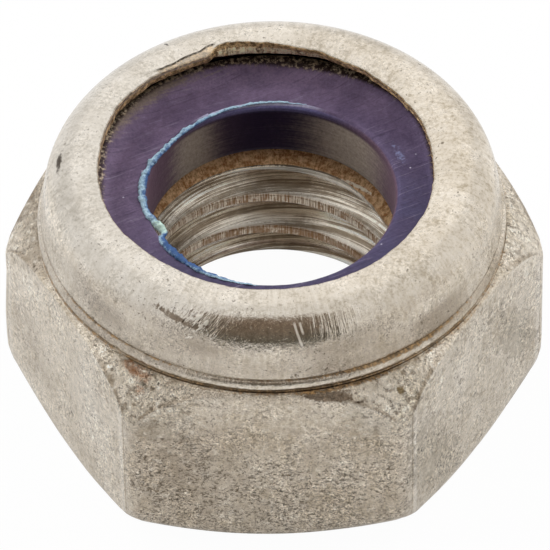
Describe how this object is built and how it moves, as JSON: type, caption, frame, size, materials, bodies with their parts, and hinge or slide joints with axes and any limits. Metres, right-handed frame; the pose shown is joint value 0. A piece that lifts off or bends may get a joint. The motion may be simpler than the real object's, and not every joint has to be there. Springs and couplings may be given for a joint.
{
  "type": "nylon insert lock nut",
  "caption": "Hexagon nut with a crimped collar that holds a nylon ring; the ring grips the screw's thread so that the nut doesn't shake loose.",
  "frame": {"origin": "centre of the bearing face, on the thread axis", "axes": "+Z along the thread axis, from the bearing face to the nylon insert; two flats face -Y and +Y, and two corners lie on the X axis"},
  "size_m": [0.0148, 0.013, 0.008],
  "materials": {
    "stainless_steel": "satin",
    "nylon": "satin"
  },
  "bodies": {
    "root": {"nut_body": "stainless_steel", "nylon_insert": "nylon"}
  },
  "joints": []
}
